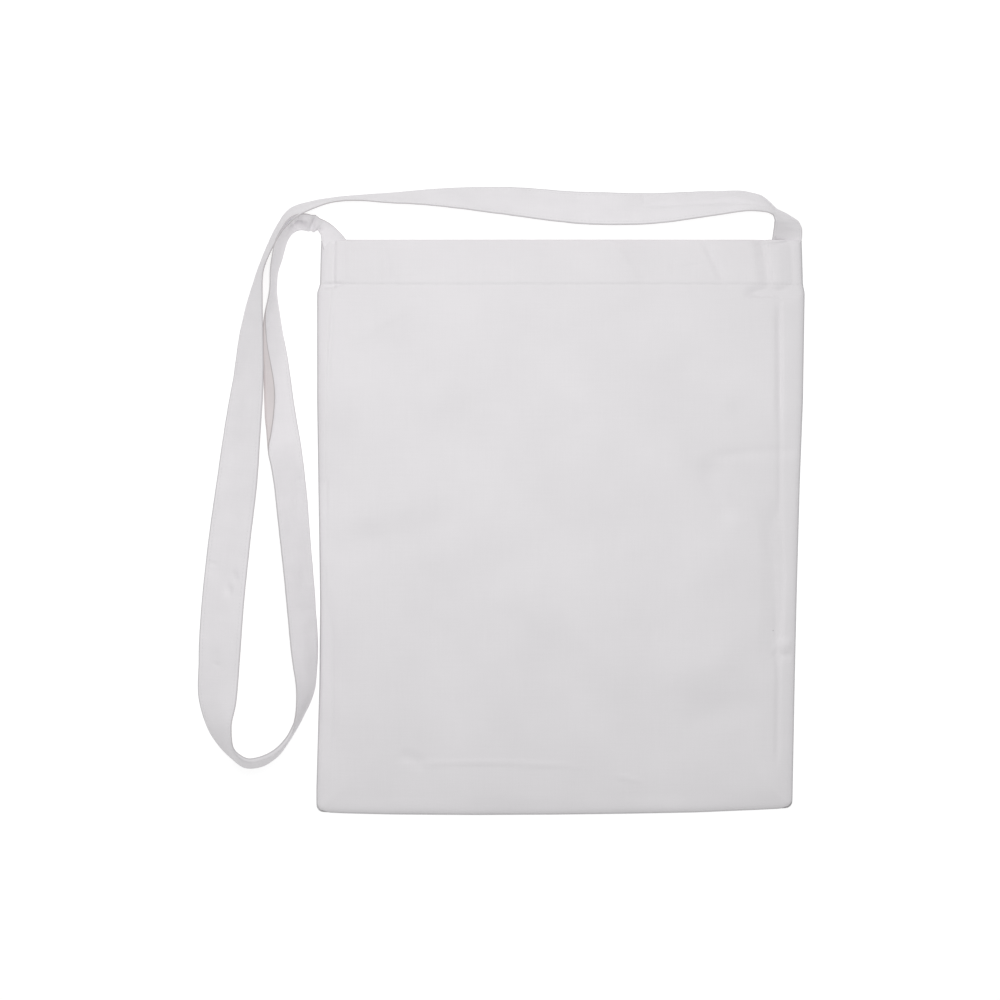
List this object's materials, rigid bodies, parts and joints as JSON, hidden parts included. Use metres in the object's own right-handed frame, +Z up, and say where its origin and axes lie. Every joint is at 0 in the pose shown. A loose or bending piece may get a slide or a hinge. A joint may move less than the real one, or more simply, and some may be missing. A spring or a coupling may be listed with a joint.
{
  "type": "sling bag",
  "caption": "Plain cotton fruit picking bag with one long shoulder strap, lying flat; its mouth opens and the strap's free loop lifts.",
  "frame": {"origin": "middle of the underside of the back panel, on the surface the bag lies on", "axes": "+X across the bag to its right side, +Y along the bag towards its mouth, +Z up from the surface, through the front panel"},
  "size_m": [0.4744, 0.4909, 0.034],
  "materials": {
    "bag_cloth": "plain weave cotton, matte",
    "strap_cloth": "plain weave cotton, folded and stitched, matte",
    "sewing_thread": "twisted cotton thread"
  },
  "bodies": {
    "bag": {"back_panel": "bag_cloth", "back_hem": "bag_cloth", "back_hem_stitching": "sewing_thread", "left_side_seam": "bag_cloth", "left_side_overlock": "sewing_thread", "left_side_stitching": "sewing_thread", "right_side_seam": "bag_cloth", "right_side_overlock": "sewing_thread", "right_side_stitching": "sewing_thread", "bottom_seam": "bag_cloth", "bottom_overlock": "sewing_thread", "bottom_stitching": "sewing_thread", "strap_left_tab": "strap_cloth", "strap_left_end": "strap_cloth", "strap_inner_bend": "strap_cloth", "strap_outer_bend": "strap_cloth", "strap_top_run": "strap_cloth", "strap_right_end": "strap_cloth", "strap_right_tab": "strap_cloth", "strap_top_stitching": "sewing_thread", "left_tab_stitching": "sewing_thread", "right_tab_stitching": "sewing_thread"},
    "front": {"front_panel": "bag_cloth", "front_hem": "bag_cloth", "front_hem_stitching": "sewing_thread"},
    "strap_loop": {"strap_inner_leg": "strap_cloth", "strap_loop_bottom": "strap_cloth", "strap_outer_leg": "strap_cloth", "strap_loop_stitching": "sewing_thread"}
  },
  "joints": [
    {"name": "mouth_open", "type": "hinge", "parent": "bag", "child": "front", "pos_m": [0, -0.2245, 0.0046], "axis": [1, 0, 0], "range_deg": [0, 7]},
    {"name": "strap_lift", "type": "hinge", "parent": "bag", "child": "strap_loop", "pos_m": [-0.235, 0.112, 0.012], "axis": [-1, 0, 0], "range_deg": [0, 85]}
  ]
}
